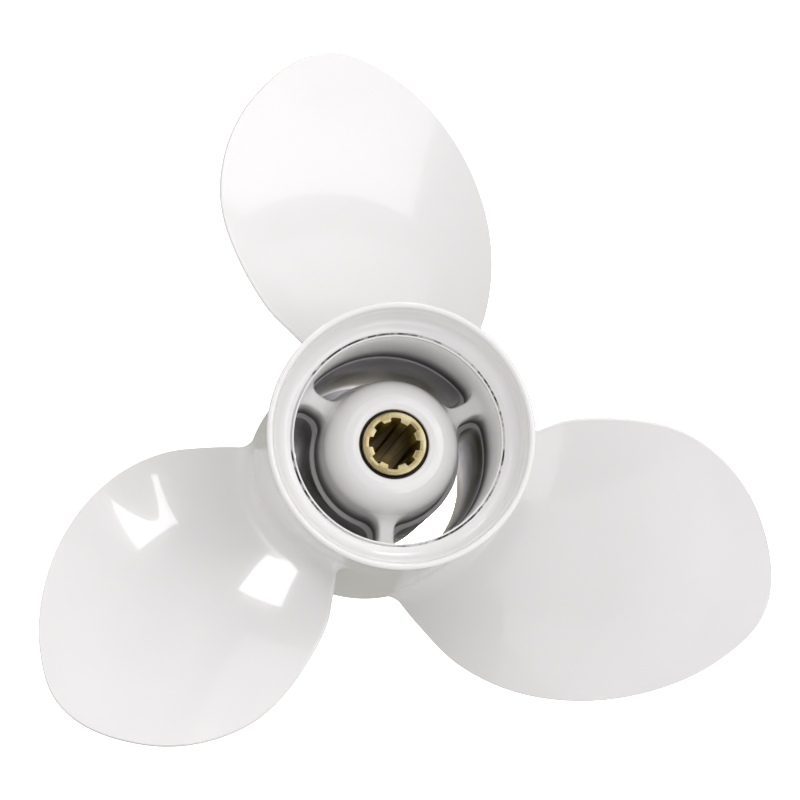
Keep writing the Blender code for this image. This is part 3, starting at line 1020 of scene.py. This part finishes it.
def gloss_paint():
    """White gloss enamel: dry in the throat, painted shade deep in it, a dark line in the rim's
    groove.
    """
    finish = Finish("white_enamel")
    radius, height = finish.radius_and_height()
    tone = finish.remap(finish.noise(18.0), 0.3, 0.7)
    white = finish.blend(tone, (0.80, 0.785, 0.785), (0.83, 0.815, 0.815))
    channel = finish.band(radius, *CHANNEL_RADII)
    # Painted shade: the channel between hub and barrel wall darkens to near black just aft of the
    # step.
    painted_shade = finish.times(finish.band(height, *PAINTED_SHADE_HEIGHTS), channel)
    shaded_white = finish.blend(painted_shade, white, (0.10, 0.095, 0.095))
    # A dark broken line painted along the rim's groove.
    groove = finish.times(finish.band(radius, *GROOVE_RADII), finish.remap(height, *GROOVE_BOTTOM))
    dashes = finish.remap(finish.noise(60.0, 5.0, 0.75), 0.47, 0.57, 0.1, 1.0)
    lined = finish.blend(finish.times(groove, dashes), shaded_white, (0.05, 0.045, 0.045))
    finish.join(lined, finish.shader.inputs["Base Color"])
    dry = finish.times(channel, finish.remap(height, *DRY_TOP, 1.0, 0.0))
    finish.join(finish.remap(dry, 0.0, 1.0, 0.18, 0.5), finish.shader.inputs["Roughness"])
    finish.join(finish.remap(dry, 0.0, 1.0, 0.6, 0.05), finish.shader.inputs["Coat Weight"])
    finish.set(Coat_Roughness=0.02, Coat_IOR=1.5)
    peel = finish.bump(finish.noise(260.0, 2.0), 0.05, 0.0004)
    waves = finish.bump(finish.noise(28.0, 2.0), 0.10, 0.0010, peel)
    finish.join(waves, finish.shader.inputs["Normal"])
    return finish.material


def bare_casting():
    """Unpainted grey casting in the front part of the passages, with drawn-out mould marks."""
    finish = Finish("bare_casting")
    streaks = finish.noise(70.0, 4.0, 0.6, (1.0, 1.0, 0.3))
    stain = finish.remap(finish.noise(26.0, 2.0), 0.42, 0.62)
    metal = finish.blend(finish.remap(streaks, 0.35, 0.7), (0.44, 0.43, 0.45), (0.60, 0.59, 0.61))
    colour = finish.blend(stain, metal, (0.16, 0.15, 0.10))
    finish.join(colour, finish.shader.inputs["Base Color"])
    finish.join(finish.remap(streaks, 0.3, 0.7, 0.45, 0.65), finish.shader.inputs["Roughness"])
    finish.set(Specular_IOR_Level=0.4)
    finish.join(finish.bump(streaks, 0.5, 0.0006), finish.shader.inputs["Normal"])
    return finish.material


def black_rubber():
    finish = Finish("black_rubber")
    tone = finish.remap(finish.noise(240.0), 0.3, 0.7)
    colour = finish.blend(tone, (0.006, 0.006, 0.007), (0.018, 0.018, 0.018))
    finish.join(colour, finish.shader.inputs["Base Color"])
    finish.join(finish.remap(tone, 0.0, 1.0, 0.5, 0.7), finish.shader.inputs["Roughness"])
    finish.join(finish.bump(finish.noise(900.0), 0.3, 0.0002), finish.shader.inputs["Normal"])
    return finish.material


def turned_brass():
    """Machined brass: faint turning marks round the axis, and warmer tarnish in patches."""
    finish = Finish("turned_brass")
    radius = finish.radius_and_height()[0]
    tone = finish.remap(finish.noise(150.0, 4.0), 0.35, 0.7)
    brass = finish.blend(tone, (0.42, 0.34, 0.17), (0.60, 0.53, 0.32))
    blush = finish.remap(finish.noise(90.0, 2.0), 0.55, 0.68)
    warm = finish.blend(blush, brass, (0.66, 0.40, 0.27))
    finish.join(warm, finish.shader.inputs["Base Color"])
    finish.join(finish.remap(tone, 0.0, 1.0, 0.26, 0.42), finish.shader.inputs["Roughness"])
    finish.set(Metallic=1.0)
    rings = finish.add("ShaderNodeMath", operation="SINE")
    finish.join(finish.times(radius, 2 * math.pi / TURNING_PITCH), rings.inputs[0])
    marks = finish.bump(rings.outputs[0], 0.12, 0.00002)
    spots = finish.bump(finish.noise(900.0, 3.0), 0.25, 0.0001, marks)
    finish.join(spots, finish.shader.inputs["Normal"])
    return finish.material


def oiled_bore():
    """The same brass inside the bore, broached lengthwise and darkened by oil."""
    finish = Finish("oiled_bore")
    strokes = finish.noise(600.0, 2.0, 0.5, (1.0, 1.0, 0.02))
    tone = finish.remap(finish.noise(60.0, 3.0), 0.3, 0.7)
    olive = finish.blend(tone, (0.12, 0.09, 0.014), (0.60, 0.47, 0.09))
    colour = finish.blend(finish.remap(strokes, 0.3, 0.7), olive, (0.35, 0.27, 0.06))
    finish.join(colour, finish.shader.inputs["Base Color"])
    finish.join(finish.remap(strokes, 0.3, 0.7, 0.35, 0.5), finish.shader.inputs["Roughness"])
    finish.set(Metallic=0.6, Specular_Tint=(0.5, 0.36, 0.10, 1.0))
    finish.join(finish.bump(strokes, 0.2, 0.0001), finish.shader.inputs["Normal"])
    return finish.material


def floor_finish():
    """A pale, softly lit sheet of studio floor."""
    finish = Finish("studio_floor")
    tone = finish.remap(finish.noise(3.0), 0.3, 0.7)
    colour = finish.blend(tone, (0.90, 0.90, 0.90), (0.93, 0.93, 0.93))
    finish.join(colour, finish.shader.inputs["Base Color"])
    finish.set(Roughness=0.9, Emission_Color=(1.0, 1.0, 1.0, 1.0), Emission_Strength=FLOOR_GLOW)
    return finish.material


def table_finish():
    """The table just under the passages glows and lights them from below, with a painted shadow
    spot at one side.
    """
    finish = Finish("glowing_table")
    radius = finish.radius_and_height()[0]
    across = finish.add("ShaderNodeSeparateXYZ")
    finish.join(finish.place, across.inputs[0])
    ring = finish.remap(radius, TABLE_DARK_RADIUS * 0.95, TABLE_DARK_RADIUS * 1.05)
    aside = finish.add("ShaderNodeMath", operation="ABSOLUTE")
    finish.join(across.outputs["Y"], aside.inputs[0])
    lobes = finish.times(finish.remap(across.outputs["X"], -0.018, 0.0),
                         finish.remap(aside.outputs[0], 0.002, 0.009))
    side = finish.remap(lobes, 0.0, 1.0, TABLE_GLOW_LEFT, TABLE_GLOW)
    # Painted shadow: the glow drops to a dim spot at one side, under the barrel.
    shadow_spot = finish.add("ShaderNodeVectorMath", operation="DISTANCE")
    finish.join(finish.place, shadow_spot.inputs[0])
    shadow_spot.inputs[1].default_value = (*SHADOW_SPOT_CENTRE, 0.0)
    away = finish.remap(shadow_spot.outputs["Value"], SHADOW_SPOT_RADIUS * 0.8, SHADOW_SPOT_RADIUS * 1.2,
                        SHADOW_SPOT_GLOW / TABLE_GLOW)
    glow = finish.times(finish.times(side, ring), away)
    finish.set(Base_Color=(0.0, 0.0, 0.0, 1.0), Emission_Color=(1.0, 0.98, 1.0, 1.0))
    finish.join(glow, finish.shader.inputs["Emission Strength"])
    return finish.material


# ---------------------------------------------------------------- studio

FLOOR_GLOW = 1.0
FLOOR_SIZE = 6.0
FLOOR_Z = -0.0002
# The world is white above the horizon and tinted below it, with a soft change between
WORLD_GLOW = 0.51
BELOW_TINT = (0.82, 0.81, 0.74)
HORIZON_BLEND = 0.15
# The glowing patch of table under the barrel, which lights the passages: brighter on the +X side,
# away from the X axis, with a painted shadow spot on it
TABLE_GLOW = 9.5
TABLE_GLOW_LEFT = 1.5
TABLE_RADIUS = 0.0285
TABLE_DARK_RADIUS = 0.015
TABLE_Z = -0.0001
TABLE_SIDES = 48
# The painted shadow spot: its glow, its centre and its radius in metres
SHADOW_SPOT_GLOW = 0.33
SHADOW_SPOT_CENTRE = (-0.0052, 0.0267)
SHADOW_SPOT_RADIUS = 0.0060
# Name, azimuth and elevation in degrees, distance, width and height in metres, and brightness
SOFTBOXES = (
    ("window_left", 75.0, 19.0, 1.1, 0.27, 0.22, 7.0),
    ("window_right", 115.5, 7.5, 1.1, 0.27, 0.32, 7.0),
    ("bank_side", 2.0, 44.0, 1.3, 0.8, 0.62, 1.85),
    ("bank_front", -140.0, 38.0, 1.9, 1.7, 1.4, 0.53),
    ("bank_right", 45.0, 40.0, 1.6, 1.1, 0.8, 1.03),
    ("bank_left", 135.0, 40.0, 1.6, 1.1, 0.8, 1.03),
    ("bank_back", 180.0, 40.0, 1.6, 1.1, 0.8, 0.3),
    ("high_right", 45.0, 66.0, 2.0, 1.1, 1.0, 1.1),
    ("high_front", -45.0, 66.0, 2.0, 1.1, 1.0, 1.31),
    ("low_side", 0.0, 12.0, 1.6, 1.4, 0.6, 0.54),
    ("low_front", -90.0, 12.0, 1.6, 1.4, 0.6, 1.3),
)

# The camera: how far its view leans from the shaft axis and which way, and where it sits
VIEW_LEAN = math.radians(10.7)
VIEW_LEAN_TOWARDS = math.radians(38.9)
VIEW_ROLL = math.radians(-4.64)
VIEW_DISTANCE = 2.252
VIEW_ASIDE = (0.00633, 0.01829)
VIEW_CENTRE_Z = 0.0394
LENS = 352.7


def softbox(name, azimuth, elevation, distance, width, height, brightness):
    """A rectangular area light that faces the propeller."""
    data = bpy.data.lights.new(name, "AREA")
    data.shape = "RECTANGLE"
    data.size = width
    data.size_y = height
    data.energy = brightness * math.pi * width * height
    light = bpy.data.objects.new(name, data)
    turn, rise = math.radians(azimuth), math.radians(elevation)
    away = Vector((math.cos(turn) * math.cos(rise), math.sin(turn) * math.cos(rise),
                   math.sin(rise)))
    light.location = away * distance + Vector((0, 0, VIEW_CENTRE_Z))
    light.rotation_euler = away.to_track_quat("Z", "Y").to_euler()
    bpy.context.scene.collection.objects.link(light)


def stage_sheet(name, outline, z, material):
    """A flat piece of the studio, left out of the propeller's reflections."""
    mesh = bpy.data.meshes.new(name)
    mesh.from_pydata([(x, y, z) for x, y in outline], [], [list(range(len(outline)))])
    mesh.materials.append(material)
    sheet = bpy.data.objects.new(name, mesh)
    sheet.visible_glossy = False
    bpy.context.scene.collection.objects.link(sheet)
    return sheet


def make_floor():
    h = FLOOR_SIZE / 2
    square = [(-h, -h), (h, -h), (h, h), (-h, h)]
    floor = stage_sheet("floor", square, FLOOR_Z, floor_finish())
    floor.visible_diffuse = False


def make_table():
    turns = [2 * math.pi * k / TABLE_SIDES for k in range(TABLE_SIDES)]
    circle = [(TABLE_RADIUS * math.cos(a), TABLE_RADIUS * math.sin(a)) for a in turns]
    stage_sheet("glowing_table", circle, TABLE_Z, table_finish())


def make_world():
    world = bpy.data.worlds.new("studio")
    world.use_nodes = True
    tree = world.node_tree
    place = tree.nodes.new("ShaderNodeTexCoord")
    parts = tree.nodes.new("ShaderNodeSeparateXYZ")
    above = tree.nodes.new("ShaderNodeMapRange")
    above.inputs["From Min"].default_value = -HORIZON_BLEND
    above.inputs["From Max"].default_value = HORIZON_BLEND
    tint = tree.nodes.new("ShaderNodeMix")
    tint.data_type = "RGBA"
    tint.inputs[6].default_value = (*BELOW_TINT, 1.0)
    tint.inputs[7].default_value = (1.0, 1.0, 1.0, 1.0)
    light = tree.nodes["Background"]
    light.inputs["Strength"].default_value = WORLD_GLOW
    tree.links.new(place.outputs["Generated"], parts.inputs[0])
    tree.links.new(parts.outputs["Z"], above.inputs["Value"])
    tree.links.new(above.outputs["Result"], tint.inputs["Factor"])
    tree.links.new(tint.outputs[2], light.inputs["Color"])
    bpy.context.scene.world = world


def make_camera():
    data = bpy.data.cameras.new("camera")
    data.lens = LENS
    data.sensor_width = 36.0
    data.clip_end = 20.0
    camera = bpy.data.objects.new("camera", data)
    hinge = Vector((-math.cos(VIEW_LEAN_TOWARDS), math.sin(VIEW_LEAN_TOWARDS), 0))
    lean = Matrix.Rotation(VIEW_LEAN, 4, hinge)
    camera.matrix_world = (
        Matrix.Rotation(VIEW_ROLL, 4, "Z")
        @ Matrix.Translation((0, 0, VIEW_CENTRE_Z))
        @ lean.transposed()
        @ Matrix.Translation((*VIEW_ASIDE, VIEW_DISTANCE))
    )
    bpy.context.scene.collection.objects.link(camera)
    bpy.context.scene.camera = camera


# ---------------------------------------------------------------- the object

casting = make_casting()
casting.data.materials.append(gloss_paint())
casting.data.materials.append(bare_casting())
bare_inside(casting)
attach(casting, "propeller")
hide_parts("outer_barrel", "inner_hub", "rib_1", "rib_2", "rib_3",
            "blade_1", "blade_2", "blade_3")

bush = make_bush()
bush.data.materials.append(black_rubber())
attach(bush, "propeller")
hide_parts("rubber_bush")

sleeve = make_sleeve()
sleeve.data.materials.append(turned_brass())
sleeve.data.materials.append(oiled_bore())
oil_inside(sleeve)
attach(sleeve, "drive_sleeve")
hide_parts("splined_sleeve")

make_floor()
make_table()
make_world()
for values in SOFTBOXES:
    softbox(*values)
make_camera()
bpy.context.scene.view_settings.view_transform = "Standard"
